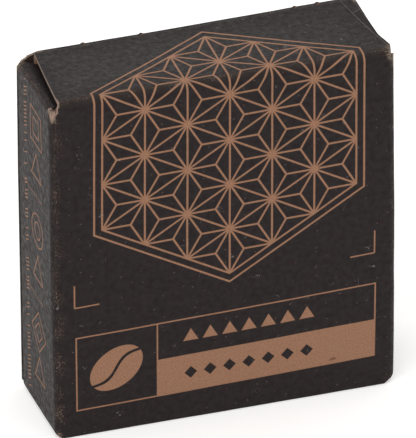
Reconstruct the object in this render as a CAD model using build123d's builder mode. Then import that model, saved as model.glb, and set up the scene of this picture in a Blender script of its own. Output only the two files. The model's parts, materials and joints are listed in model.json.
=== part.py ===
"""Folding carton with reverse tuck ends, folded from one sheet of kraft board.

Millimetres. +Z is up, the front wall faces -Y and the carton stands on its bottom flap.
The origin is at the middle of the base. The lid hinges on the front wall's top crease and
tucks inside the back wall. The bottom flap is the same closure, turned over.
"""
import os
from math import asin, cos, degrees, pi, radians, sin, sqrt

from build123d import *

# Outside of the closed carton
width = 74.0
depth = 24.0
height = 79.0

# Board and its bends, each bend by its outside radius
board = 0.7
corner_radius = 1.0
crease_radius = 1.2
fold_radius = 1.2
tuck_bend = 1.0

# Closure flaps
lid_inset_left = 1.9
lid_inset_right = 1.0
lid_taper = 1.5
tuck_length = 10.5
tuck_corner = 5.0

# Dust flaps
dust_flap_length = 20.0
dust_flap_droop = 14.0
dust_flap_corner = 4.0

# Glued seam inside the back wall
glue_flap_width = 9.0
glue_flap_slant = 4.0

# Damage: a torn upper left corner, clipped rear corners and a dog-eared lower right corner
torn_corner_drop = 4.2
rear_clip_width = 3.2
rear_clip_height = 2.8
dog_ear_width = 2.4
dog_ear_height = 1.5

# Clearances
hinge_gap = 0.4
swing_gap = 0.3
flap_gap = 0.2
glue_gap = 2.0
rear_edge_drop = 0.3

# Hinge line of the lid: the crease keeps the length of the board's middle as it opens flat
hinge_depth = crease_radius - pi / 4 * (crease_radius - board / 2)
hinge_y = -depth / 2 + hinge_depth
hinge_z = height - hinge_depth

# The tuck tab leans inwards, so that it swings clear of the wall it is tucked behind
swing_radius = depth / 2 - board - swing_gap - hinge_y
tuck_lean = degrees(asin((tuck_length + 2 * tuck_bend) / (2 * swing_radius)))
half_swing = asin(tuck_length / (2 * swing_radius))

# The dust flaps fold under the lid, and end clear of the tab's swing
crest_drop = board + flap_gap
end_relief = crest_drop + fold_radius
dust_flap_sink = crest_drop + board + dust_flap_length * sin(radians(dust_flap_droop))
tab_inner_radius = swing_radius * cos(half_swing) - board - swing_gap
dust_flap_rear = hinge_y + sqrt(tab_inner_radius**2 - dust_flap_sink**2)
dust_flap_front = -depth / 2 + corner_radius

# The crease and the lid's panel run between these sides
lid_left = -width / 2 + lid_inset_left
lid_right = width / 2 - lid_inset_right

# The closure at the bottom is the one at the top, turned half round about this line
turn_over = Axis((0, 0, height / 2), (1, 0, 0))

# Section of the four walls, square only at the rear left, where the back wall covers the seam
with BuildSketch() as sleeve:
    for inset in (0, board):
        side_x = width / 2 - inset
        side_y = depth / 2 - inset
        with BuildLine():
            FilletPolyline(
                (-side_x, side_y),
                (side_x, side_y),
                (side_x, -side_y),
                (-side_x, -side_y),
                (-side_x, side_y),
                radius=corner_radius - inset,
            )
        make_face(mode=Mode.SUBTRACT if inset else Mode.ADD)

# Dust flaps of the top end, folded in from the side walls
with BuildPart() as dust_flaps:
    with BuildSketch(Plane.XZ.offset(-dust_flap_rear)):
        with BuildLine():
            bend = CenterArc(
                center=(-width / 2 + fold_radius, height - end_relief),
                radius=fold_radius - board / 2,
                start_angle=180,
                arc_size=-90 - dust_flap_droop,
            )
            Line(bend @ 1, bend @ 1 + dust_flap_length * (bend % 1))
        trace(line_width=board)
    extrude(amount=dust_flap_rear - dust_flap_front)
    free_end = dust_flaps.faces().sort_by(Axis.X)[-1]
    fillet(free_end.edges().filter_by(Axis.Y, reverse=True), dust_flap_corner)
    mirror(about=Plane.YZ)

# Crease of the lid, standing on the front wall
with BuildPart() as lid_crease:
    with BuildSketch(Plane.YZ.offset(lid_left)):
        with BuildLine():
            Line(
                (-depth / 2 + board / 2, height - end_relief),
                (-depth / 2 + board / 2, height - crease_radius),
            )
            CenterArc(
                center=(-depth / 2 + crease_radius, height - crease_radius),
                radius=crease_radius - board / 2,
                start_angle=180,
                arc_size=-90,
            )
        trace(line_width=board)
    extrude(amount=lid_right - lid_left)

with BuildPart() as carton_body:
    # Walls between the folds of both ends
    with BuildSketch(Plane.XY.offset(end_relief)):
        add(sleeve.sketch)
    extrude(amount=height - 2 * end_relief)
    # Cut edge of the front wall at the bottom, corners included
    with BuildSketch():
        add(sleeve.sketch)
        with Locations((0, -depth / 2)):
            Rectangle(width, 2 * corner_radius, mode=Mode.INTERSECT)
    extrude(amount=end_relief)
    # Cut edge of the back wall at the top, corners included
    with BuildSketch(Plane.XY.offset(height - end_relief)):
        add(sleeve.sketch)
        with Locations((0, depth / 2)):
            Rectangle(width, 2 * corner_radius, mode=Mode.INTERSECT)
    extrude(amount=end_relief - rear_edge_drop)
    # Folds of both ends
    add(dust_flaps.part)
    add(dust_flaps.part.rotate(turn_over, 180))
    add(lid_crease.part)
    add(lid_crease.part.rotate(turn_over, 180))
    # Glue flap, kept clear of both tuck tabs
    glue_flap_end = board + tuck_bend + tuck_length + glue_gap
    with BuildSketch(Plane.XZ.offset(-depth / 2 + board)):
        with BuildLine():
            Polyline(
                (-width / 2 + board, glue_flap_end),
                (-width / 2 + board + glue_flap_width, glue_flap_end + glue_flap_slant),
                (-width / 2 + board + glue_flap_width, height - glue_flap_end - glue_flap_slant),
                (-width / 2 + board, height - glue_flap_end),
                close=True,
            )
        make_face()
    extrude(amount=board)
    # Torn upper left corner, open down to its foot
    with BuildSketch(Plane.XZ.offset(depth / 2)):
        with BuildLine():
            Polyline(
                (-width / 2, height),
                (lid_left, height),
                (-width / 2, height - torn_corner_drop),
                close=True,
            )
        make_face()
    extrude(amount=-corner_radius, mode=Mode.SUBTRACT)
    # Clipped rear corners at the top
    with BuildSketch(Plane.XZ.offset(-depth / 2)):
        for side in (-1, 1):
            with BuildLine():
                Polyline(
                    (side * width / 2, height),
                    (side * (width / 2 - rear_clip_width), height),
                    (side * width / 2, height - rear_clip_height),
                    close=True,
                )
            make_face()
    extrude(amount=corner_radius, mode=Mode.SUBTRACT)
    # Dog-eared lower right corner
    with BuildSketch(Plane.XZ.offset(depth / 2)):
        with BuildLine():
            Polyline(
                (width / 2, 0),
                (width / 2 - dog_ear_width, 0),
                (width / 2, dog_ear_height),
                close=True,
            )
        make_face()
    extrude(amount=-corner_radius, mode=Mode.SUBTRACT)

with BuildPart() as lid_flap:
    # Section from the crease to the tab's free end
    tuck_centre_y = hinge_y + swing_radius - tuck_bend
    with BuildSketch(Plane.YZ.offset(lid_left)):
        with BuildLine():
            Line(
                (-depth / 2 + crease_radius + hinge_gap, height - board / 2),
                (tuck_centre_y, height - board / 2),
            )
            tuck_turn = CenterArc(
                center=(tuck_centre_y, height - tuck_bend),
                radius=tuck_bend - board / 2,
                start_angle=90,
                arc_size=-90 - tuck_lean,
            )
            Line(tuck_turn @ 1, tuck_turn @ 1 + tuck_length * (tuck_turn % 1))
        trace(line_width=board)
    extrude(amount=lid_right - lid_left)
    # Sides taper in from the crease to the tab
    with BuildSketch():
        with BuildLine():
            Polyline(
                (lid_left, -depth / 2),
                (lid_right, -depth / 2),
                (lid_right - lid_taper, tuck_centre_y),
                (lid_right - lid_taper, depth / 2),
                (lid_left + lid_taper, depth / 2),
                (lid_left + lid_taper, tuck_centre_y),
                close=True,
            )
        make_face()
    extrude(amount=height, mode=Mode.INTERSECT)
    # Rounded corners of the tab
    free_edge = lid_flap.faces().sort_by(Axis.Z)[0]
    fillet(free_edge.edges().filter_by(Axis.X, reverse=True), tuck_corner)

with BuildPart() as bottom_flap:
    add(lid_flap.part.rotate(turn_over, 180))

os.makedirs("parts", exist_ok=True)
carton_body.part.label = "carton_body"
export_step(carton_body.part, "parts/carton_body.step")
lid_flap.part.label = "lid_flap"
export_step(lid_flap.part, "parts/lid_flap.step")
bottom_flap.part.label = "bottom_flap"
export_step(bottom_flap.part, "parts/bottom_flap.step")

print(f"lid hinge at y {hinge_y:.6f}, z {hinge_z:.6f}")
print(f"bottom hinge at y {-hinge_y:.6f}, z {hinge_depth:.6f}")
print(f"tab lean {tuck_lean:.2f} degrees, dust flaps end at y {dust_flap_rear:.3f}")
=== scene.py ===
"""Worn folding carton, printed black on kraft board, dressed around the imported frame.

The carton is modelled as it is made: flat sheets are scored, cut out and folded up crease by crease.
Blank places (u, v) are millimetres on the flat outer face: u runs to the right across the front wall
from its middle, v runs up from the base, and both go on past the creases onto the next panel.
"""
import json
import math

import bpy
import numpy as np
from mathutils import Matrix, Vector


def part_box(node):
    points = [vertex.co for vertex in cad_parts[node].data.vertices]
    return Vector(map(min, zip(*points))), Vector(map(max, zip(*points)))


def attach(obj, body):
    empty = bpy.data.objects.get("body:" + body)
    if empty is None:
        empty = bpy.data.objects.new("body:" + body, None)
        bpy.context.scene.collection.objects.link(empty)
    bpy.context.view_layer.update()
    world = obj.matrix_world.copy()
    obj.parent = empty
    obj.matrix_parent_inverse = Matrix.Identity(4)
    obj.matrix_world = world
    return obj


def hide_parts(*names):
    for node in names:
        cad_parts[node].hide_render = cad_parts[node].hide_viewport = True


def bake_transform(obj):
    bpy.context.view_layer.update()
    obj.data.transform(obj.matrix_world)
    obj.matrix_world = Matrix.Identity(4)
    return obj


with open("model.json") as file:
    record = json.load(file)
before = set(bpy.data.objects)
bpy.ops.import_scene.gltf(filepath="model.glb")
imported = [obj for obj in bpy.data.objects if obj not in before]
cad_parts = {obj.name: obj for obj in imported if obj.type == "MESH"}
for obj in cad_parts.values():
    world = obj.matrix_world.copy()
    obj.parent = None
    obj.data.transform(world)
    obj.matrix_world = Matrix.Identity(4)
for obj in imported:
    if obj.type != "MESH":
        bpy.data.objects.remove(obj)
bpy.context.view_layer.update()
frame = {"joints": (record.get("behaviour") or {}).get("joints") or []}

MM = 0.001

# Outside of the closed carton, in millimetres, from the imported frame
body_low, body_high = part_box("carton_body")
width, depth, height = (body_high - body_low) / MM
half_width = width / 2
half_depth = depth / 2

# Board and its bends, each bend by its outside radius
board = 0.7
corner_radius = 1.5
crease_radius = 1.8
fold_radius = 1.2
seam_radius = 0.8
tuck_bend = 0.7
bend_steps = 5

# Ends of the walls: the front wall ends at the lid's seam, and the back wall's edge stands free
end_relief = 2.1
rear_edge_drop = 0.4

# Closures: flared at the right of the crease, drawn in behind the flare, with an ear beside the tab
lid_inset_left = 1.9
lid_inset_right = 1.0
bottom_inset_left = 3.6
lid_taper = 1.5
flare_width = 0.8
flare_length = 1.0
flare_flat = 0.5
waist_length = 5.0
waist_inset = 0.1
ear_inset = 0.3
tuck_length = 10.5
tuck_corner = 5.0
tuck_gap = 0.1
lid_left = -half_width + lid_inset_left
lid_right = half_width - lid_inset_right
lid_flare = lid_right + flare_width
bottom_left = -half_width + bottom_inset_left

# Dust flaps: where their folds start from each end, and how far they reach to the front and the rear
flap_relief = 2.65
low_relief = 1.35
dust_flap_length = 20.0
dust_flap_droop = 14.0
dust_flap_clearance = 0.05
dust_flap_front = half_depth - corner_radius - dust_flap_clearance
dust_flap_rear = 8.36
dust_flap_corner = 4.0
dust_flap_slant = 5.0
dust_flap_root = 0.2

# Glue flap inside the back wall
glue_flap_width = 9.0
glue_flap_end = 14.2

# Burrs on the back wall's free edge, by their x
burrs = (-22.8, -10.3, 22.9, 27.9)
burr_half = 0.6
burr_height = 0.3

# Fineness of the sheets, and how close points count as the same place or as past a line
grid = 2.0
grid_start = 0.6
corner_steps = 6
sliver = 0.01
near = 0.01
past_line = 0.001
score_slack = 0.0001
cut_slack = 0.001
smooth_angle = 40

# Flat places kept as a UV map: millimetres to a unit, and a shift that takes the bottom off the print
uv_unit = 100.0
off_print = -300

# Materials of a sheet in their order, and where its rear and torn edges take the black print as painted
# shade
outer_face = 0
inner_face = 1
cut_face = 2
shade_rear = 0.5
shade_seam = 1.2
shade_torn_depth = 3.0
shade_torn_drop = 5.0

# Slack of the used carton
left_bow = 0.45
right_bow = 0.25
left_flare = 0.7
front_bow = 0.4
lid_lift = 1.7
wave_length = 14.0
wave_height = 0.3

# Slack cage, in its own unit cube: past these its points lie at a side, at an end and under the lift
cage_side = 0.1
cage_end = 0.4
lift_start = -0.15

# Print, measured from the middle of the front wall
print_rise = 0.02
print_lean = 0.012
leaf_middle = (0.9, 25.0)
leaf_radius = 31.5
leaf_rows = 3
leaf_line = 0.42
leaf_border = 1.7
label_middle = (0.3, -24.15)
label_half = (32.35, 8.65)
label_line = 0.32
divider_x = -14.65
bean_middle = (-23.5, -24.15)
bean_length = 6.2
bean_breadth = 4.5
bean_tilt = 35
bean_slit = 0.7
bean_wave = 0.5
row_middle = 5.15
row_half = 14.7
row_pitch = 4.2
any_height = 100
lozenge_half = 1.4
triangle_inner = 0.95
mark_x = 32.35
mark_y = -8.15
mark_arm = 5.3
stain_middle = (23.5, -31.85)
stain_half = (0.55, 0.1)

# Signs on the left wall, from its lower end and from the front
sign_start = 3.7
sign_pitch = 24.2
sign_middle = 10.6
sign_height = 16.2
sign_half = 3.8
sign_line = 0.3
diamond_squeeze = 0.8
triangle_height = 6.4
parting_y = 1.4
parting_half = 6.3
dash_length = 0.9
dash_place = 18.9
dash_width = 0.6
dash_slant = 1.8
dash_share = 0.35
no_dash = 10.0
sign_margin_side = 2.0
sign_margin_end = 3.0

# Grain of the board and its ink, drawn coarser than real fibres, which would be too fine to show
fleck_size = 0.35
patch_size = 4.0
ink_bleed = 0.16
ink_edge = 0.05
tooth_size = 0.5
tooth_height = 0.09
mottle_size = 1.3
mottle_range = (0.3, 0.7)

# Wear of the ink, with the painted sheen on the lid's crease and the painted shade on the board's inside:
# sizes, the range of a pattern over which each kind shows, and its most
rub_grain = 1.5
rub_patches = 0.6
rub_range = (1.55, 1.95)
rub_border = 0.15
rub_most = 0.8
scuff_gain = 3.0
torn_range = (0.9, 1.5)
speck_spacing = 2.2
speck_edge = (0.03, 0.06)
speck_choice = (0.7, 1.0)
speck_most = 0.7
fibre_curl = 1.6
fibre_length = 2.5
fibre_level = 0.5
fibre_width = 0.012
fibre_choice = (0.8, 0.84)
fibre_most = 0.3
scratch_width = 0.12
scratch_most = 0.3
# Painted sheen along the lid's crease
crease_sheen_reach = 1.9
crease_sheen_most = 0.05
stain_grain = 0.8
stain_range = (0.3, 0.7)
stain_most = 0.9
# Painted shade on the board's inside, by how worn its points are
inner_shade_range = (0.4, 0.65)

# Roughness of the ink, what bare board adds to it, and what handling takes off it inside the lid's edges
ink_roughness = (0.5, 0.74)
bare_roughness = 0.2
polish_reach = 8.0
polish_most = 0.15

# Colours, by their sRGB hex values
ink_colours = ("150c0b", "1d1312")
kraft_colours = ("74503a", "b6896e")
speck_colours = ("94806f", "6b4f3d")
fluff_colours = ("6d5347", "b3988a")
# Scuffs, and the painted sheen along the lid's crease
scuff_and_sheen_colour = "837365"
stain_colour = "553823"
scratch_colour = "a09a97"
inside_colours = ("8a6349", "ab8161")
# Painted shade on the board's inside
inner_shade_colour = "3a2d26"
edge_colours = ("6f6157", "9a8a7c")
floor_colour = "f2f1ef"

# Studio and viewpoint: the floor's size, the lamp and the view's distance are in metres
floor_size = 6
floor_gap = 0.2
floor_lift = 0.36
sky_light = 0.85
lamp_place = (-0.7, -0.7, 1.1)
lamp_power = 4.5
lamp_size = 0.9
image_height = 438
focal_pixels = 9226.5
sensor_width = 36
view_azimuth = -17.28
view_elevation = 29.585
view_roll = -0.676
view_distance = 1.916
view_right = 0.03
view_up = -0.03


def bend_step(radius, turn):
    """Width of one facet of a bend, so that its edges lie on the bend's outside radius."""
    return 2 * radius * math.sin(math.radians(turn) / bend_steps / 2)


def bend_lines(start, radius, turn, way):
    """Places of a bend's score lines on the flat sheet, from the wall that stays outwards."""
    return [start + way * step * bend_step(radius, turn) for step in range(bend_steps + 1)]


# Flat places of the upright creases, from the front wall outwards to each side
left_lines = bend_lines(-half_width + corner_radius, corner_radius, 90, -1)
seam_y = half_depth - board
left_wall_end = left_lines[-1] - (seam_y - seam_radius + half_depth - corner_radius)
seam_lines = bend_lines(left_wall_end, seam_radius, 90, -1)
right_lines = bend_lines(half_width - corner_radius, corner_radius, 90, 1)
rear_lines = bend_lines(right_lines[-1] + depth - 2 * corner_radius, corner_radius, 90, 1)
blank_left = seam_lines[-1] - glue_flap_width
blank_right = rear_lines[-1] + width - corner_radius

# Flat places of the dust flaps' folds
fold_turn = 90 + dust_flap_droop
top_fold_lines = bend_lines(height - flap_relief, fold_radius, fold_turn, 1)
low_fold_lines = bend_lines(low_relief, fold_radius, fold_turn, -1)
blank_top = top_fold_lines[-1] + dust_flap_length
blank_bottom = low_fold_lines[-1] - dust_flap_length
rear_edge = height - rear_edge_drop

# Flat places of the lid's crease and tuck: the tab leans in, so that it swings clear of the back wall
wall_top = height - end_relief
lid_lines = bend_lines(height - crease_radius, crease_radius, 90, 1)
flare_end = lid_lines[-1] + flare_length
lid_joint = next(joint for joint in frame["joints"] if joint["name"] == "lid_fold")
hinge_y = lid_joint["pos_m"][1] / MM
tuck_face = half_depth - board - tuck_gap
swing_radius = tuck_face - hinge_y
tuck_turn = 90 + math.degrees(math.asin((tuck_length + 2 * tuck_bend) / (2 * swing_radius)))
tuck_start = lid_lines[-1] + tuck_face - tuck_bend + half_depth - crease_radius
tuck_lines = bend_lines(tuck_start, tuck_bend, tuck_turn, 1)
tab_end = tuck_lines[-1] + tuck_length


def left_place(y):
    """Flat place on the left wall of a point at that depth."""
    return left_lines[-1] - (y + half_depth - corner_radius)


def right_place(y):
    """Flat place on the right wall of a point at that depth."""
    return right_lines[-1] + (y + half_depth - corner_radius)


def back_place(x):
    """Flat place on the back wall of a point at that x."""
    return rear_lines[-1] + (half_width - corner_radius - x)


def lid_place(y):
    """Flat place on the lid of a point at that depth."""
    return lid_lines[-1] + y + half_depth - crease_radius


# Pieces missing from the worn blank, by their corners in counter-clockwise order
torn_foot_right = -35.95
torn_top = height - 1.2
torn_corner = ((-36.3, height - 1.7), (torn_foot_right, torn_top), (-36.6, torn_top))
below_base = -0.1
foot_end = left_lines[-1] - 0.4
worn_foot = ((foot_end, below_base), (left_lines[0], below_base), (foot_end, low_relief))
past_right = right_lines[-1] + 0.2
worn_corner = ((right_lines[0], height - 0.2), (past_right, height - 1.4), (past_right, height))
dog_ear = ((half_width - 2.6, below_base), (past_right, below_base), (past_right, 2.5))
past_left = blank_right + 0.1
rear_slope_left = ((back_place(-32.5), rear_edge), (past_left, height - 1.7), (past_left, rear_edge))
clip_top = height - 1.1
rear_clip_left = ((back_place(-34.5), clip_top), (past_left, height - 2.4), (past_left, clip_top))
round_top = height - 1.85
rear_round_left = ((back_place(-36.0), round_top), (past_left, height - 3.3), (past_left, round_top))
before_rear = rear_lines[0] - 0.1
rear_clip_right = ((before_rear, height - 2.8), (back_place(33.8), height), (before_rear, height))
worn_outlines = (
    torn_corner,
    worn_corner,
    worn_foot,
    dog_ear,
    rear_slope_left,
    rear_clip_left,
    rear_round_left,
    rear_clip_right,
)

# Worn lines of the walls and the lid, which also darken the board's inside as painted shade: ends, reach
# and strength
flap_line = top_fold_lines[2]
wall_wear_and_shade = (
    ((left_lines[1], 0), (left_lines[1], height - 4), 3.4, 0.45),
    ((-36.0, torn_top), (-36.5, height - 3.3), 0.65, 2.6),
    ((-37.3, torn_top), (-36.7, height - 3.3), 0.55, 2.2),
    ((left_place(-dust_flap_front), flap_line), (left_place(dust_flap_rear + 1), flap_line), 1.4, 0.5),
    ((seam_lines[0], wall_top + 0.5), (seam_lines[0], wall_top - 1.5), 2.2, 0.75),
    # Along the back wall's clipped corner: ink rubbed outside, and painted shade on the inside, where it
    # lies in shadow
    ((back_place(-33.2), rear_edge), (blank_right, height - 2), 4.0, 1.1),
    ((right_lines[3], wall_top), (right_lines[3], height), 2.0, 1.1),
    ((right_lines[2], 0), (right_lines[2], wall_top), 1.4, 0.4),
    ((left_lines[2], 0), (left_lines[2], 0.8), 1.6, 0.9),
    ((half_width - 2, 0.6), (half_width, 1.2), 1.6, 0.7),
    ((rear_lines[2], 0), (rear_lines[2], height), 1.6, 0.5),
    ((right_place(-dust_flap_front), wall_top + 1), (right_place(dust_flap_rear), wall_top + 1), 2.0, 0.6),
)
lid_wear_and_shade = (
    ((lid_left, lid_lines[4]), (lid_right, lid_lines[4]), 1.8, 0.45),
    ((torn_foot_right, wall_top), (lid_left - 0.6, lid_lines[0]), 0.6, 2.4),
    ((lid_left - 0.7, lid_lines[0]), (lid_left, height), 0.35, 2.2),
    ((lid_left, height), (lid_left, lid_lines[-1]), 0.35, 2.2),
    ((lid_right, lid_lines[1]), (lid_right + 0.5, lid_lines[-1]), 2.2, 0.95),
    ((lid_right - 0.4, tuck_start - 0.6), (lid_right - 0.4, tuck_start), 1.4, 1.1),
    ((lid_left + lid_taper, tuck_lines[1]), (lid_right - lid_taper, tuck_lines[1]), 1.2, 0.35),
)

# Fine scratches on the lid: ends on the blank
scratches = (
    ((32.45, lid_place(11.0)), (36.3, lid_place(-9.5))),
    ((35.2, lid_place(10.0)), (35.8, lid_place(1.7))),
    ((33.4, lid_place(5.3)), (35.4, lid_place(6.3))),
)


def choose(sheet, chosen, kind="vertices"):
    """Selects points of a sheet, or its faces where the kind is polygons, and opens it for editing."""
    for part in ("vertices", "edges", "polygons"):
        items = getattr(sheet.data, part)
        picked = np.asarray(chosen, bool) if part == kind else np.zeros(len(items), bool)
        items.foreach_set("select", picked)
    bpy.context.tool_settings.mesh_select_mode = (kind == "vertices", False, kind == "polygons")
    bpy.context.view_layer.objects.active = sheet
    bpy.ops.object.mode_set(mode="EDIT")


def done():
    """Closes the sheet that is being edited."""
    bpy.ops.object.mode_set(mode="OBJECT")


def points_of(sheet):
    """Places of a sheet's points in millimetres."""
    places = np.empty(len(sheet.data.vertices) * 3)
    sheet.data.vertices.foreach_get("co", places)
    return places.reshape(-1, 3) / MM


def middles_of(sheet):
    """Blank places of the middles of a flat sheet's faces."""
    return np.array([(face.center.x, face.center.z) for face in sheet.data.polygons]) / MM


def choose_corner(sheet, place):
    """Selects the point of the flat sheet at a blank place and opens the sheet for editing."""
    gaps = np.linalg.norm(points_of(sheet)[:, (0, 2)] - place, axis=1)
    choose(sheet, gaps < near)


def flat_sheet(name, left, right, bottom, top):
    """A flat rectangle of board, by its outer face, standing in the plane of the front wall."""
    bpy.ops.object.select_all(action="DESELECT")
    bpy.ops.mesh.primitive_plane_add(
        size=MM,
        location=((left + right) / 2 * MM, -half_depth * MM, (bottom + top) / 2 * MM),
        rotation=(math.pi / 2, 0, 0),
    )
    sheet = bpy.context.object
    sheet.name = name
    sheet.scale = (right - left, top - bottom, 1)
    bpy.ops.object.transform_apply()
    return sheet


def score(sheet, across=(), up=()):
    """Scores the whole flat sheet along upright and level lines."""
    choose(sheet, np.ones(len(sheet.data.vertices)))
    for place in across:
        bpy.ops.mesh.select_all(action="SELECT")
        bpy.ops.mesh.bisect(plane_co=(place * MM, 0, 0), plane_no=(1, 0, 0), threshold=score_slack * MM)
    for place in up:
        bpy.ops.mesh.select_all(action="SELECT")
        bpy.ops.mesh.bisect(plane_co=(0, 0, place * MM), plane_no=(0, 0, 1), threshold=score_slack * MM)
    done()


def cut_out(sheet, is_board):
    """Cuts away the cells of a scored sheet whose middles aren't board."""
    choose(sheet, [not is_board(u, v) for u, v in middles_of(sheet)], "polygons")
    bpy.ops.mesh.delete(type="FACE")
    done()


def round_corner(sheet, place, radius):
    """Rounds one corner of the cut sheet."""
    choose_corner(sheet, place)
    bpy.ops.mesh.bevel(offset=radius * MM, segments=corner_steps, affect="VERTICES")
    done()


def cut_piece_out(sheet, outline):
    """Cuts a small convex piece out of the flat sheet, by its corners in counter-clockwise order."""
    outline = np.array(outline)
    sides = list(zip(outline, np.roll(outline, -1, axis=0)))
    middle = outline.mean(0)
    reach = np.linalg.norm(outline - middle, axis=1).max() + grid
    for start, end in sides:
        choose(sheet, np.linalg.norm(middles_of(sheet) - middle, axis=1) < reach, "polygons")
        along = (end - start) / np.linalg.norm(end - start)
        bpy.ops.mesh.bisect(
            plane_co=(start[0] * MM, 0, start[1] * MM),
            plane_no=(along[1], 0, -along[0]),
            threshold=cut_slack * MM,
        )
        done()
    faces = middles_of(sheet)
    inside = np.ones(len(faces), bool)
    for start, end in sides:
        along = end - start
        offset = faces - start
        inside &= along[0] * offset[:, 1] - along[1] * offset[:, 0] > 0
    choose(sheet, inside, "polygons")
    bpy.ops.mesh.delete(type="FACE")
    done()


def clear_slivers(sheet):
    """Merges points and faces that the cuts left too small to shade."""
    choose(sheet, np.ones(len(sheet.data.vertices)))
    bpy.ops.mesh.remove_doubles(threshold=sliver * MM)
    bpy.ops.mesh.dissolve_degenerate(threshold=sliver * MM)
    done()


def note_blank(sheet, shift=0):
    """Keeps the flat places as the UV map that the print follows, and returns them."""
    flat = points_of(sheet)[:, (0, 2)]
    layer = sheet.data.uv_layers.active
    layer.name = "blank"
    corners = np.empty(len(sheet.data.loops), int)
    sheet.data.loops.foreach_get("vertex_index", corners)
    layer.data.foreach_set("uv", ((flat[corners] + (0, shift)) / uv_unit).ravel())
    return flat


def note_wear_and_shade(sheet, flat, places):
    """Keeps how far the ink is rubbed at each point, from worn lines given by ends, reach and strength. The
    same value darkens the board's inside as painted shade.
    """
    wear_and_shade = np.zeros(len(flat))
    for start, end, reach, strength in places:
        start = np.array(start)
        along = np.array(end) - start
        share = np.clip((flat - start) @ along / (along @ along), 0, 1)
        away = np.linalg.norm(flat - start - share[:, None] * along, axis=1)
        wear_and_shade = np.maximum(wear_and_shade, strength * (1 - away / reach))
    sheet.data.attributes.new("wear_and_shade", "FLOAT", "POINT").data.foreach_set("value", wear_and_shade)


def fold(sheet, beyond, lines, turn, axis):
    """Folds the points beyond a bend, line by line from the outermost, so that each is still in place.

    The first and last lines turn by half a step, so that the facets between them lie on the bend.
    """
    for step in reversed(range(len(lines))):
        share = 0.5 if step in (0, bend_steps) else 1.0
        hinge = (lines[step] * MM, -half_depth * MM, 0)
        if axis == "X":
            hinge = (0, -half_depth * MM, lines[step] * MM)
        choose(sheet, beyond(lines[step]))
        bpy.ops.transform.rotate(
            value=-math.radians(turn) * share / bend_steps,
            orient_axis=axis,
            center_override=hinge,
        )
        done()


def wall_sheet():
    """Front, side and back walls, dust flaps and glue flap, cut from one blank and folded round."""
    sheet = flat_sheet("carton_walls", blank_left, blank_right, blank_bottom, blank_top)
    top_flap = (left_place(dust_flap_rear), left_place(-dust_flap_front))
    low_flap = (seam_lines[0], left_place(-dust_flap_rear))
    top_flap_right = (right_place(-dust_flap_front), right_place(dust_flap_rear))
    low_flap_right = (right_place(-dust_flap_rear), rear_lines[0])
    root_sides = [
        seam_lines[0] + dust_flap_root,
        left_place(-dust_flap_front),
        right_place(-dust_flap_front),
        rear_lines[0] - dust_flap_root,
    ]
    slant_top = top_fold_lines[-1] + dust_flap_slant
    slant_low = low_fold_lines[-1] - dust_flap_slant
    creases = left_lines + seam_lines + right_lines + rear_lines
    flap_sides = [*top_flap, *low_flap, *top_flap_right, *low_flap_right, *root_sides]
    front_sides = [lid_right, torn_foot_right]
    wall_ends = [0, wall_top, torn_top, rear_edge]
    flap_ends = [glue_flap_end, height - glue_flap_end, slant_top, slant_low]
    score(
        sheet,
        across=set(creases + flap_sides + front_sides),
        up=set(top_fold_lines + low_fold_lines + wall_ends + flap_ends),
    )

    def is_board(u, v):
        if u < seam_lines[-1]:
            return glue_flap_end < v < height - glue_flap_end
        on_root = root_sides[0] < u < root_sides[1] or root_sides[2] < u < root_sides[3]
        if v > wall_top:
            on_flap = top_flap[0] < u < top_flap[1] or top_flap_right[0] < u < top_flap_right[1]
            on_back = u > rear_lines[0] and v < rear_edge
            on_corner = lid_right < u < right_lines[-1] and v < rear_edge
            on_lip = left_lines[-1] < u < torn_foot_right and v < torn_top
            return on_flap or on_back or on_corner or on_lip or on_root and v < slant_top
        if v < low_relief:
            on_flap = low_flap[0] < u < low_flap[1] or low_flap_right[0] < u < low_flap_right[1]
            on_front = left_lines[-1] < u < right_lines[-1] and v > 0
            return on_flap or on_front or on_root and v > slant_low
        return True

    cut_out(sheet, is_board)
    flap_corners = (
        (top_flap, blank_top),
        (top_flap_right, blank_top),
        (low_flap, blank_bottom),
        (low_flap_right, blank_bottom),
    )
    for sides, end in flap_corners:
        for side in sides:
            round_corner(sheet, (side, end), dust_flap_corner)
    burr_sides = [back_place(x) + side for x in burrs for side in (-burr_half, 0, burr_half)]
    score(
        sheet,
        across=[*np.arange(blank_left + grid_start * grid, blank_right, grid), *burr_sides],
        up=np.arange(blank_bottom + grid_start * grid, blank_top, grid),
    )
    slants = (
        ((root_sides[0], top_fold_lines[-1]), (top_flap[0], slant_top), (root_sides[0], slant_top)),
        ((root_sides[3], top_fold_lines[-1]), (root_sides[3], slant_top), (top_flap_right[1], slant_top)),
        ((low_flap[1], slant_low), (root_sides[1], slant_low), (root_sides[1], low_fold_lines[-1])),
        ((root_sides[2], low_fold_lines[-1]), (root_sides[2], slant_low), (low_flap_right[0], slant_low)),
    )
    for outline in (*worn_outlines, *slants):
        cut_piece_out(sheet, outline)
    for x in burrs:
        choose_corner(sheet, (back_place(x), rear_edge))
        bpy.ops.transform.translate(value=(0, 0, burr_height * MM))
        done()
    clear_slivers(sheet)
    flat = note_blank(sheet)
    u, v = flat.T
    # The lower right flap reaches the rear crease itself, and the upper one ends in front of it
    left_side = (u > seam_lines[0] - near) & (u < left_lines[-1] - near)
    top_sides = left_side | (u > right_lines[-1] + near) & (u < rear_lines[0] - near)
    low_sides = left_side | (u > right_lines[-1] + near) & (u < rear_lines[0] + near)
    fold(sheet, lambda line: top_sides & (v > line + past_line), top_fold_lines, -fold_turn, "X")
    fold(sheet, lambda line: low_sides & (v < line - past_line), low_fold_lines, fold_turn, "X")
    fold(sheet, lambda line: u < line - past_line, seam_lines, -90, "Z")
    fold(sheet, lambda line: u < line - past_line, left_lines, -90, "Z")
    fold(sheet, lambda line: u > line + past_line, rear_lines, 90, "Z")
    fold(sheet, lambda line: u > line + past_line, right_lines, 90, "Z")
    note_wear_and_shade(sheet, flat, wall_wear_and_shade)
    return sheet


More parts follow.
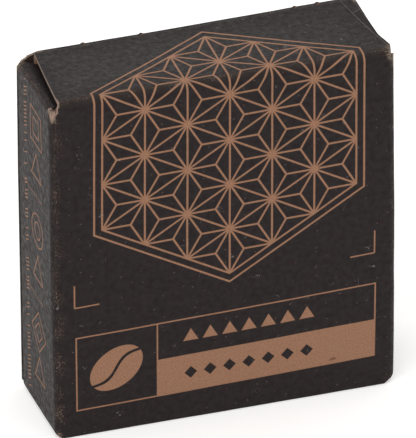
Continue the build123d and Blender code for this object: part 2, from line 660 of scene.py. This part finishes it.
def closure_sheet(name, left_foot, left, shift):
    """A closure panel with its crease and tuck tab, from the wall's top seam, folded as the lid is."""
    sheet = flat_sheet(name, min(left_foot, left), lid_flare, wall_top, tab_end)
    tab_sides = (lid_left + lid_taper, lid_right - lid_taper)
    ear_end = tuck_lines[2]
    score(sheet, across=tab_sides, up=[*lid_lines, *tuck_lines])
    cut_out(sheet, lambda u, v: tab_sides[0] < u < tab_sides[1] or v < tuck_start or u > 0 and v < ear_end)
    for side in tab_sides:
        round_corner(sheet, (side, tab_end), tuck_corner)
    score(
        sheet,
        across=np.arange(left_foot + grid_start * grid, lid_flare, grid),
        up=np.arange(wall_top + (1 + grid_start) * grid, tab_end, grid),
    )
    past_outer = lid_left - 2
    past_flare = lid_flare + 0.1
    flat_end = flare_end + flare_flat
    waist = flare_end + waist_length
    waist_side = lid_right - waist_inset
    flare_cut = (
        (lid_right, wall_top),
        (past_flare, wall_top),
        (past_flare, flare_end),
        (lid_flare, flare_end),
        (lid_right, lid_lines[1]),
    )
    side_cuts = (
        ((left_foot, wall_top), (left, height), (past_outer, height), (past_outer, wall_top)),
        ((left, height), (tab_sides[0], tuck_start), (past_outer, tuck_start), (past_outer, height)),
        flare_cut,
        ((lid_flare, flat_end), (past_flare, flat_end), (past_flare, waist), (waist_side, waist)),
        ((waist_side, waist), (past_flare, waist), (past_flare, ear_end), (lid_right - ear_inset, ear_end)),
    )
    for outline in side_cuts:
        cut_piece_out(sheet, outline)
    clear_slivers(sheet)
    flat = note_blank(sheet, shift)
    v = flat[:, 1]
    fold(sheet, lambda line: v > line + past_line, tuck_lines, -tuck_turn, "X")
    fold(sheet, lambda line: v > line + past_line, lid_lines, -90, "X")
    note_wear_and_shade(sheet, flat, lid_wear_and_shade)
    return sheet


def lid_sheet():
    """The lid, torn down its left end where the front wall's corner has split."""
    return closure_sheet("lid_panel", torn_foot_right, lid_left, 0)


def bottom_sheet():
    """The bottom closure: a lid turned over, on the back wall's crease. It carries no print."""
    sheet = closure_sheet("bottom_panel", bottom_left, bottom_left, off_print)
    choose(sheet, np.ones(len(sheet.data.vertices)))
    bpy.ops.transform.rotate(value=math.pi, orient_axis="X", center_override=(0, 0, height / 2 * MM))
    done()
    return sheet


def slack_cage():
    """A lattice round the carton, pulled so that its walls bow a little, as used board does."""
    bpy.ops.object.add(type="LATTICE", location=(0, 0, height / 2 * MM))
    cage = bpy.context.object
    cage.name = "slack_cage"
    cage.scale = (width * MM, depth * MM, height * MM)
    cage.data.points_u = 3
    cage.data.points_v = 3
    cage.data.points_w = 4
    for point in cage.data.points:
        x, y, z = point.co
        in_middle = abs(z) < cage_end
        if x < -cage_side and in_middle:
            point.co_deform.x -= left_bow / width
        if x > cage_side and in_middle:
            point.co_deform.x += right_bow / width
        if x < -cage_side and y > -cage_side and z < -cage_end:
            point.co_deform.x -= left_flare / width
        if abs(x) < cage_side and abs(y) > cage_side and in_middle:
            point.co_deform.y += math.copysign(front_bow, y) / depth
        if y > cage_side and z > cage_end:
            point.co_deform.z += lid_lift / height * max(0, x - lift_start) / (0.5 - lift_start)
    return cage


def wave_pattern():
    """A soft pattern for the small waves of the panels."""
    pattern = bpy.data.textures.new("panel_waves", "CLOUDS")
    pattern.noise_scale = wave_length * MM
    return pattern


def finish_sheet(sheet, cage, pattern):
    """Gives a folded sheet its slack, the small waves of its panels, and the board's thickness."""
    bpy.ops.object.select_all(action="DESELECT")
    sheet.select_set(True)
    bpy.context.view_layer.objects.active = sheet
    slack = sheet.modifiers.new("slack", "LATTICE")
    slack.object = cage
    waves = sheet.modifiers.new("waves", "DISPLACE")
    waves.texture = pattern
    waves.strength = wave_height * MM
    thick = sheet.modifiers.new("board", "SOLIDIFY")
    thick.thickness = board * MM
    thick.offset = -1
    thick.material_offset = inner_face
    thick.material_offset_rim = cut_face
    for name in ("slack", "waves", "board"):
        bpy.ops.object.modifier_apply(modifier=name)
    # Faces at the rear seam, and cut edges at the back wall's top and at the tear, take the black print as
    # painted shade
    for face in sheet.data.polygons:
        x, y, z = face.center / MM
        at_rear = y > seam_y - shade_rear
        at_seam = at_rear and x < -half_width + shade_seam
        at_tear = x < lid_left and y < -half_depth + shade_torn_depth and z > height - shade_torn_drop
        if at_seam or face.material_index == cut_face and (at_rear or at_tear):
            face.material_index = outer_face
    bpy.ops.object.shade_smooth_by_angle(angle=math.radians(smooth_angle))


def hex_colour(code):
    """Linear colour of an sRGB hex value."""
    parts = [int(code[place:place + 2], 16) / 255 for place in (0, 2, 4)]
    linear = [part / 12.92 if part <= 0.04045 else ((part + 0.055) / 1.055) ** 2.4 for part in parts]
    return (*linear, 1.0)


def add(tree, kind, *inputs, **named):
    """Adds one node and returns its first output: inputs in order or by capitalised name, then options."""
    made = tree.nodes.new("ShaderNode" + kind)
    sockets = dict(enumerate(inputs))
    for name, value in named.items():
        if name[0].isupper():
            sockets[name.replace("_", " ")] = value
        else:
            setattr(made, name, value)
    for name, value in sockets.items():
        if isinstance(value, bpy.types.NodeSocket):
            tree.links.new(value, made.inputs[name])
        else:
            made.inputs[name].default_value = value
    return made.outputs[0] if made.outputs else None


def new_material(name):
    """An empty node material."""
    material = bpy.data.materials.new(name)
    material.use_nodes = True
    material.node_tree.nodes.clear()
    return material, material.node_tree


def blank_place(tree):
    """Blank place of the shaded point, in millimetres."""
    return add(tree, "VectorMath", add(tree, "UVMap", uv_map="blank"), Scale=uv_unit, operation="SCALE")


def rectangle(tree, place, middle, half):
    """Distance in millimetres from the edge of an upright rectangle, less than nothing inside it."""
    gap = add(tree, "VectorMath", place, (*middle, 0), operation="SUBTRACT")
    gap = add(tree, "VectorMath", gap, operation="ABSOLUTE")
    gap = add(tree, "VectorMath", gap, (*half, 0), operation="SUBTRACT")
    across, up, _ = add(tree, "SeparateXYZ", gap).node.outputs
    return add(tree, "Math", across, up, operation="MAXIMUM")


def line_along(tree, edge, thickness):
    """Distance from a line of that thickness drawn along an edge."""
    away = add(tree, "Math", edge, operation="ABSOLUTE")
    return add(tree, "Math", away, thickness / 2, operation="SUBTRACT")


def largest(tree, *values):
    """The largest of several values. Of distances, it is the one from what lies in all the shapes."""
    found = values[0]
    for value in values[1:]:
        found = add(tree, "Math", found, value, operation="MAXIMUM")
    return found


def smallest(tree, *values):
    """The smallest of several values. Of distances, it is the one from what lies in any of the shapes."""
    found = values[0]
    for value in values[1:]:
        found = add(tree, "Math", found, value, operation="MINIMUM")
    return found


def triangle(tree, beside, rise, inner):
    """Distance from an even-sided triangle, by places beside and above its middle and its inner radius."""
    slope = add(tree, "Math", beside, math.sqrt(3) / 2, operation="MULTIPLY")
    slope = add(tree, "Math", rise, 0.5, slope, operation="MULTIPLY_ADD")
    base = add(tree, "Math", rise, -1.0, operation="MULTIPLY")
    return add(tree, "Math", largest(tree, slope, base), -inner)


def hemp_leaf(tree, place):
    """A hexagon of the old hemp leaf lattice, wrapping from the front wall onto the lid."""
    centred = add(tree, "VectorMath", place, (*leaf_middle, 0), operation="SUBTRACT")
    row = leaf_radius / leaf_rows * math.sqrt(3) / 2
    levels = []
    shares = []
    for turn in (0, 120, 240):
        way = (math.cos(math.radians(turn)) / row, math.sin(math.radians(turn)) / row, 0)
        level = add(tree, "VectorMath", centred, way, operation="DOT_PRODUCT").node.outputs["Value"]
        levels.append(add(tree, "Math", level, operation="ABSOLUTE"))
        shares.append(add(tree, "Math", level, operation="FRACT"))
    # The shares add up to one in half of the triangles, and to two in those that point the other way
    total = add(tree, "Math", add(tree, "Math", shares[0], shares[1]), shares[2])
    flipped = add(tree, "Math", total, 1.5, operation="GREATER_THAN")
    sides = []
    for share in shares:
        side = add(tree, "Math", flipped, share, operation="SUBTRACT")
        sides.append(add(tree, "Math", side, operation="ABSOLUTE"))
    nearest = smallest(tree, *sides)
    farthest = largest(tree, *sides)
    # Lines run along each triangle's sides, and veins from its corners to its middle
    spare = add(tree, "Math", nearest, -2.0, 1.0, operation="MULTIPLY_ADD")
    vein = add(tree, "Math", spare, farthest, operation="SUBTRACT")
    edge = add(tree, "Math", nearest, row, -leaf_line / 2, operation="MULTIPLY_ADD")
    vein = add(tree, "Math", vein, row / math.sqrt(3), -leaf_line / 2, operation="MULTIPLY_ADD")
    rim = add(tree, "Math", largest(tree, *levels), row, -row * leaf_rows, operation="MULTIPLY_ADD")
    outer = add(tree, "Math", rim, leaf_border, operation="SUBTRACT")
    lattice = largest(tree, rim, smallest(tree, edge, vein))
    return smallest(tree, lattice, line_along(tree, rim, leaf_line), line_along(tree, outer, leaf_line))


def coffee_bean(tree, place):
    """A filled bean with its crooked slit, in the label's square field."""
    tilt = (0, 0, math.radians(bean_tilt))
    own = add(tree, "Mapping", place, (*bean_middle, 0), tilt, vector_type="TEXTURE")
    stretched = add(tree, "VectorMath", own, (1 / bean_length, 1 / bean_breadth, 0), operation="MULTIPLY")
    reach = add(tree, "VectorMath", stretched, operation="LENGTH").node.outputs["Value"]
    bean = add(tree, "Math", reach, bean_breadth, -bean_breadth, operation="MULTIPLY_ADD")
    along, over, _ = add(tree, "SeparateXYZ", own).node.outputs
    wave = add(tree, "Math", along, bean_wave, operation="MULTIPLY")
    wave = add(tree, "Math", wave, operation="SINE")
    slit = line_along(tree, add(tree, "Math", over, wave, operation="SUBTRACT"), bean_slit)
    beside_slit = add(tree, "Math", slit, -1.0, operation="MULTIPLY")
    return largest(tree, bean, beside_slit)


def label(tree, place):
    """Framed label: a bean, a row of triangles, and a bare kraft band with a row of dark lozenges."""
    across, up, _ = add(tree, "SeparateXYZ", place).node.outputs
    field = rectangle(tree, place, label_middle, label_half)
    divider = rectangle(tree, place, (divider_x, label_middle[1]), (label_line / 2, label_half[1]))
    band_left = divider_x
    band_right = label_middle[0] + label_half[0]
    band_bottom = label_middle[1] - label_half[1]
    band_middle = ((band_left + band_right) / 2, (band_bottom + label_middle[1]) / 2)
    band = rectangle(tree, place, band_middle, ((band_right - band_left) / 2, label_half[1] / 2))
    row_limit = rectangle(tree, place, (row_middle, 0), (row_half, any_height))
    beside = add(tree, "Math", across, -row_middle)
    beside = add(tree, "Math", beside, row_pitch / 2, operation="PINGPONG")
    over = add(tree, "Math", up, -band_middle[1])
    over = add(tree, "Math", over, operation="ABSOLUTE")
    lozenge = add(tree, "Math", add(tree, "Math", beside, over), -lozenge_half)
    lozenges = largest(tree, lozenge, row_limit)
    around_lozenges = add(tree, "Math", lozenges, -1.0, operation="MULTIPLY")
    kraft_band = largest(tree, band, around_lozenges)
    rise = add(tree, "Math", up, -(label_middle[1] + label_half[1] / 2))
    triangles = largest(tree, triangle(tree, beside, rise, triangle_inner), row_limit)
    bean = coffee_bean(tree, place)
    return smallest(tree, line_along(tree, field, label_line), divider, kraft_band, triangles, bean)


def corner_marks(tree, place):
    """Two angle marks, left and right, between the lattice and the label."""
    across, up, _ = add(tree, "SeparateXYZ", place).node.outputs
    mirrored = add(tree, "CombineXYZ", add(tree, "Math", across, operation="ABSOLUTE"), up)
    upright = rectangle(tree, mirrored, (mark_x, mark_y + mark_arm / 2), (label_line / 2, mark_arm / 2))
    level = rectangle(tree, mirrored, (mark_x - mark_arm / 2, mark_y), (mark_arm / 2, label_line / 2))
    return smallest(tree, upright, level)


def broken_line(tree, away, up):
    """A line of slanted dashes up the left wall, some of them left out by chance."""
    rows = add(tree, "Math", up, 1 / dash_length, operation="MULTIPLY")
    row = add(tree, "Math", rows, operation="FLOOR")
    chance = add(tree, "TexWhiteNoise", W=row, noise_dimensions="1D").node.outputs["Value"]
    gap = add(tree, "Math", chance, dash_share, operation="LESS_THAN")
    gap = add(tree, "Math", gap, no_dash, operation="MULTIPLY")
    slant = add(tree, "Math", rows, operation="FRACT")
    slant = add(tree, "Math", slant, dash_slant, away, operation="MULTIPLY_ADD")
    dashes = line_along(tree, add(tree, "Math", slant, -dash_place), dash_width)
    return add(tree, "Math", dashes, gap)


def side_signs(tree, place):
    """Plain outline signs down the left wall, parted by level lines, with a broken line beside them."""
    inwards = add(tree, "VectorMath", place, (left_place(-half_depth), 0, 0), operation="SUBTRACT")
    away, up, _ = add(tree, "SeparateXYZ", inwards).node.outputs
    away = add(tree, "Math", away, -1.0, operation="MULTIPLY")
    raised = add(tree, "Math", up, -sign_start)
    group = add(tree, "Math", raised, 1 / sign_pitch, operation="MULTIPLY")
    group = add(tree, "Math", group, operation="FLOOR")
    own = add(tree, "Math", group, -sign_pitch, raised, operation="MULTIPLY_ADD")
    beside = add(tree, "Math", add(tree, "Math", away, -sign_middle), operation="ABSOLUTE")
    over = add(tree, "Math", add(tree, "Math", own, -sign_height), operation="ABSOLUTE")
    # Squares in the upper group, rings in the middle one and diamonds in the lower one
    square = largest(tree, beside, over)
    diamond = add(tree, "Math", add(tree, "Math", beside, over), diamond_squeeze, operation="MULTIPLY")
    spread = add(tree, "CombineXYZ", beside, over)
    ring = add(tree, "VectorMath", spread, operation="LENGTH").node.outputs["Value"]
    upper = add(tree, "Math", group, 1.5, operation="GREATER_THAN")
    lower = add(tree, "Math", group, 0.5, operation="LESS_THAN")
    shape = add(tree, "Mix", Factor=upper, A=ring, B=square)
    shape = add(tree, "Mix", Factor=lower, A=shape, B=diamond)
    sign = line_along(tree, add(tree, "Math", shape, -sign_half), sign_line)
    inner = line_along(tree, add(tree, "Math", shape, -sign_half / 2), sign_line)
    rise = add(tree, "Math", own, -triangle_height)
    wedge = line_along(tree, triangle(tree, beside, rise, sign_half / 2), sign_line)
    parting_middle = (left_place(parting_y), height / 2)
    parting_limit = rectangle(tree, place, parting_middle, (parting_half, height / 2 - sign_pitch / 2))
    parting = largest(tree, line_along(tree, own, sign_line), parting_limit)
    dashes = broken_line(tree, away, up)
    panel_half = (half_depth - sign_margin_side, height / 2 - sign_margin_end)
    panel = rectangle(tree, place, (left_place(0), height / 2), panel_half)
    return largest(tree, smallest(tree, sign, inner, wedge, parting, dashes), panel)


def specks(tree, place):
    """Strength of the dots where ink missed the board, each weaker or stronger by chance."""
    dots = add(tree, "TexVoronoi", place, Scale=1 / speck_spacing, voronoi_dimensions="2D").node
    dot = add(tree, "MapRange", dots.outputs["Distance"], *speck_edge, 1.0, 0.0)
    pick = add(tree, "SeparateXYZ", dots.outputs["Color"])
    pick = add(tree, "MapRange", pick, *speck_choice, 0.0, speck_most)
    return add(tree, "Math", dot, pick, operation="MULTIPLY")


def stray_fibres(tree, place):
    """Strength of thin curled fibres that lie on the board in a few places."""
    flow = add(tree, "TexNoise", place, Scale=1 / fibre_curl, Detail=1.0, noise_dimensions="2D")
    fibre = add(tree, "Math", flow, fibre_level, fibre_width, operation="COMPARE")
    few = add(tree, "TexNoise", place, Scale=1 / fibre_length, Detail=0.0, noise_dimensions="2D")
    few = add(tree, "MapRange", few, *fibre_choice, 0.0, fibre_most)
    return add(tree, "Math", fibre, few, operation="MULTIPLY")


def scratch_marks(tree, place):
    """Strength of the fine scratches on the lid."""
    marks = []
    for start, end in scratches:
        reach = math.dist(start, end)
        turn = (0, 0, math.atan2(end[1] - start[1], end[0] - start[0]))
        own = add(tree, "Mapping", place, (*start, 0), turn, vector_type="TEXTURE")
        marks.append(rectangle(tree, own, (reach / 2, 0), (reach / 2, scratch_width / 2)))
    return add(tree, "MapRange", smallest(tree, *marks), -ink_edge, ink_edge, scratch_most, 0.0)


def black_printed_kraft():
    """Kraft board flooded with matt black ink, with the bare board showing as print, flecks and worn edges.

    The eye gets a soft grey sheen at low angles, a fibrous tooth, and brown board wherever ink is missing.
    """
    material, tree = new_material("black_printed_kraft")
    place = blank_place(tree)
    wear_and_shade = add(tree, "Attribute", attribute_name="wear_and_shade").node.outputs["Fac"]
    grain = {"Scale": 1 / fleck_size, "Detail": 4.0, "Roughness": 0.65}
    fine = add(tree, "TexNoise", place, **grain, noise_dimensions="2D")
    patch = add(tree, "TexNoise", place, Scale=1 / patch_size, Detail=2.0, noise_dimensions="2D")
    # The print on the front lies a little askew
    centred = add(tree, "VectorMath", place, (0, height / 2, 0), operation="SUBTRACT")
    across = add(tree, "VectorMath", centred, (1, -print_lean, 0), operation="DOT_PRODUCT")
    up = add(tree, "VectorMath", centred, (-print_rise, 1, 0), operation="DOT_PRODUCT")
    skewed = add(tree, "CombineXYZ", across.node.outputs["Value"], up.node.outputs["Value"])
    front_print = (hemp_leaf(tree, skewed), label(tree, skewed), corner_marks(tree, skewed))
    art = smallest(tree, *front_print, side_signs(tree, place))
    ragged = add(tree, "Math", fine, ink_bleed, art, operation="MULTIPLY_ADD")
    ragged = add(tree, "Math", ragged, -ink_bleed / 2)
    printed = add(tree, "MapRange", ragged, -ink_edge, ink_edge, 1.0, 0.0)
    # Ink is rubbed off along the worn lines, and where it is torn the board is left as fluff
    rub = add(tree, "Math", fine, rub_grain, wear_and_shade, operation="MULTIPLY_ADD")
    rub = add(tree, "Math", patch, rub_patches, rub, operation="MULTIPLY_ADD")
    rub = add(tree, "MapRange", rub, *rub_range, 0.0, rub_most)
    on_wear = add(tree, "MapRange", wear_and_shade, 0.0, rub_border, 0.0, 1.0)
    rubbed = add(tree, "Math", rub, on_wear, operation="MULTIPLY")
    torn = add(tree, "MapRange", wear_and_shade, *torn_range, 0.0, 1.0)
    dots = specks(tree, place)
    bare = largest(tree, printed, rubbed, dots, torn)
    kraft = add(tree, "MixRGB", fine, *map(hex_colour, kraft_colours))
    speck = add(tree, "MixRGB", printed, *map(hex_colour, speck_colours))
    kraft = add(tree, "MixRGB", dots, kraft, speck)
    scuffed = add(tree, "Math", rubbed, scuff_gain, operation="MULTIPLY", use_clamp=True)
    kraft = add(tree, "MixRGB", scuffed, kraft, hex_colour(scuff_and_sheen_colour))
    fluff = add(tree, "MixRGB", fine, *map(hex_colour, fluff_colours))
    kraft = add(tree, "MixRGB", torn, kraft, fluff)
    # A faint painted sheen lies along the lid's crease, lightening the ink there
    ink = add(tree, "MixRGB", patch, *map(hex_colour, ink_colours))
    crease = rectangle(tree, place, (0, lid_lines[4]), (half_width, crease_sheen_reach))
    crease_sheen = add(tree, "MapRange", crease, -crease_sheen_reach, 0.0, crease_sheen_most, 0.0)
    ink = add(tree, "MixRGB", crease_sheen, ink, hex_colour(scuff_and_sheen_colour))
    colour = add(tree, "MixRGB", bare, ink, kraft)
    # A small brown stain on the band, then scratches and fibres over everything
    stain = rectangle(tree, skewed, stain_middle, stain_half)
    stain = add(tree, "Math", fine, stain_grain, stain, operation="MULTIPLY_ADD")
    stain = add(tree, "MapRange", stain, *stain_range, stain_most, 0.0)
    colour = add(tree, "MixRGB", stain, colour, hex_colour(stain_colour))
    scratched = largest(tree, scratch_marks(tree, place), stray_fibres(tree, place))
    colour = add(tree, "MixRGB", scratched, colour, hex_colour(scratch_colour))
    # Ink is mottled, bare board is rougher, and the lid is polished by handling
    mottle = add(tree, "TexNoise", place, Scale=1 / mottle_size, Detail=3.0, noise_dimensions="2D")
    rough = add(tree, "MapRange", mottle, *mottle_range, *ink_roughness)
    rough = add(tree, "Math", bare, bare_roughness, rough, operation="MULTIPLY_ADD")
    lid_face = rectangle(tree, place, (0, height + half_depth), (half_width, half_depth))
    polish = add(tree, "MapRange", lid_face, -polish_reach, 0.0, polish_most, 0.0)
    rough = add(tree, "Math", rough, polish, operation="SUBTRACT")
    tooth = add(tree, "TexNoise", place, Scale=1 / tooth_size, Detail=3.0, noise_dimensions="2D")
    bump = add(tree, "Bump", Strength=1.0, Distance=tooth_height * MM, Height=tooth)
    shader = add(tree, "BsdfPrincipled", Base_Color=colour, Roughness=rough, IOR=1.33, Normal=bump)
    add(tree, "OutputMaterial", shader)
    return material


def raw_kraft():
    """Unprinted inside of the board: brown, matt, with soft fibres, and darkened with painted shade near
    its worn lines.
    """
    material, tree = new_material("raw_kraft")
    place = blank_place(tree)
    fibres = add(tree, "TexNoise", place, Scale=1 / fleck_size, Detail=4.0, noise_dimensions="2D")
    colour = add(tree, "MixRGB", fibres, *map(hex_colour, inside_colours))
    # Painted shade: the inside is darker towards the worn lines, where it lies in shadow
    wear_and_shade = add(tree, "Attribute", attribute_name="wear_and_shade").node.outputs["Fac"]
    inner_shade = add(tree, "MapRange", wear_and_shade, *inner_shade_range, 0.0, 1.0)
    colour = add(tree, "MixRGB", inner_shade, colour, hex_colour(inner_shade_colour))
    bump = add(tree, "Bump", Strength=0.3, Distance=tooth_height * MM, Height=fibres)
    shader = add(tree, "BsdfPrincipled", Base_Color=colour, Roughness=0.85, IOR=1.3, Normal=bump)
    add(tree, "OutputMaterial", shader)
    return material


def cut_edge():
    """Die-cut edge of the board: grey-brown and fuzzy, paler than the printed face."""
    material, tree = new_material("cut_board_edge")
    place = blank_place(tree)
    fibres = add(tree, "TexNoise", place, Scale=1 / fleck_size, Detail=3.0, noise_dimensions="2D")
    colour = add(tree, "MixRGB", fibres, *map(hex_colour, edge_colours))
    shader = add(tree, "BsdfPrincipled", Base_Color=colour, Roughness=0.9, IOR=1.3)
    add(tree, "OutputMaterial", shader)
    return material


def background_rays(tree):
    """One for what the camera sees, straight or mirrored or through glass, and nothing for plain light."""
    rays = add(tree, "LightPath").node.outputs
    seen = add(tree, "Math", rays["Is Camera Ray"], rays["Is Glossy Ray"], use_clamp=True)
    return add(tree, "Math", seen, rays["Is Transmission Ray"], use_clamp=True)


def studio():
    """Pale floor, white surroundings and one large soft lamp from the upper left."""
    bpy.ops.mesh.primitive_plane_add(size=floor_size, location=(0, 0, -floor_gap * MM))
    floor = bpy.context.object
    floor.name = "studio_floor"
    material, tree = new_material("pale_floor")
    lift = add(tree, "Math", background_rays(tree), floor_lift, operation="MULTIPLY")
    matt = add(tree, "BsdfDiffuse", hex_colour(floor_colour))
    glow = add(tree, "Emission", Strength=lift)
    add(tree, "OutputMaterial", add(tree, "AddShader", matt, glow))
    floor.data.materials.append(material)
    world = bpy.data.worlds.new("white_surroundings")
    world.use_nodes = True
    tree = world.node_tree
    tree.nodes.clear()
    strength = add(tree, "MapRange", background_rays(tree), 0.0, 1.0, sky_light, 1.0)
    add(tree, "OutputWorld", add(tree, "Background", Strength=strength, Color=(1.0, 1.0, 1.0, 1.0)))
    bpy.context.scene.world = world
    bpy.ops.object.light_add(type="AREA", location=lamp_place)
    lamp = bpy.context.object
    lamp.name = "soft_lamp"
    lamp.data.energy = lamp_power
    lamp.data.size = lamp_size
    aim = Vector((0, 0, height / 2 * MM)) - lamp.location
    lamp.rotation_euler = aim.to_track_quat("-Z", "Y").to_euler()


def camera():
    """The photograph's viewpoint, far off with a long lens."""
    azimuth = math.radians(view_azimuth)
    elevation = math.radians(view_elevation)
    back = Vector((
        math.sin(azimuth) * math.cos(elevation),
        -math.cos(azimuth) * math.cos(elevation),
        math.sin(elevation),
    ))
    level = Vector((0, 0, 1)).cross(back).normalized()
    upright = back.cross(level)
    roll = math.radians(view_roll)
    right = level * math.cos(roll) + upright * math.sin(roll)
    up = upright * math.cos(roll) - level * math.sin(roll)
    aim = Vector((0, 0, height / 2 * MM)) + right * view_right * MM + up * view_up * MM
    bpy.ops.object.camera_add(location=aim + back * view_distance)
    eye = bpy.context.object
    eye.rotation_mode = "QUATERNION"
    eye.rotation_quaternion = Matrix((right, up, back)).transposed().to_quaternion()
    eye.data.sensor_width = sensor_width
    eye.data.lens = focal_pixels * sensor_width / image_height
    eye.data.clip_start = 0.1
    eye.data.clip_end = 20
    bpy.context.scene.camera = eye


printed = black_printed_kraft()
inside = raw_kraft()
edge = cut_edge()
cage = slack_cage()
pattern = wave_pattern()
walls = wall_sheet()
lid = lid_sheet()
bottom = bottom_sheet()
for sheet in (walls, lid, bottom):
    for material in (printed, inside, edge):
        sheet.data.materials.append(material)
    finish_sheet(sheet, cage, pattern)
bpy.data.objects.remove(cage)

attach(walls, "carton")
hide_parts("carton_body")
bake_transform(lid)
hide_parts("lid_flap")
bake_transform(bottom)
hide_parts("bottom_flap")

studio()
camera()
bpy.context.scene.view_settings.view_transform = "Standard"
